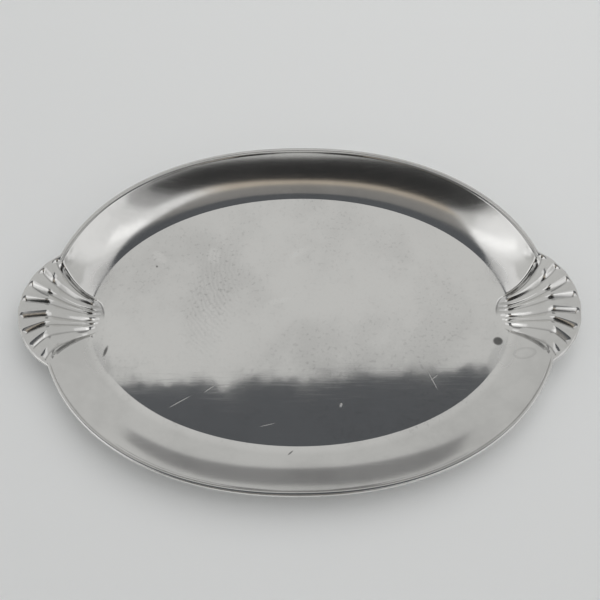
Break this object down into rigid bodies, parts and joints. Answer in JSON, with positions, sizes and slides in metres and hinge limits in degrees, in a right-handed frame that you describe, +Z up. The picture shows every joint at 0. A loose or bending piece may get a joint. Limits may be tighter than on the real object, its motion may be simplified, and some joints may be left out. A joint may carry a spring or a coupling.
{
  "type": "serving tray",
  "caption": "Oval polished metal serving tray with a hollow curved wall, a narrow flat lip and a fluted scallop shell handle at each end.",
  "frame": {"origin": "middle of the flat base, on the surface that the tray stands on", "axes": "+X along the tray towards one handle, +Y across it, +Z up out of the well"},
  "size_m": [0.46, 0.299, 0.0255],
  "materials": {
    "polished_aluminium": "polished, with fine wear"
  },
  "bodies": {
    "root": {"tray_casting": "polished_aluminium"}
  },
  "joints": []
}
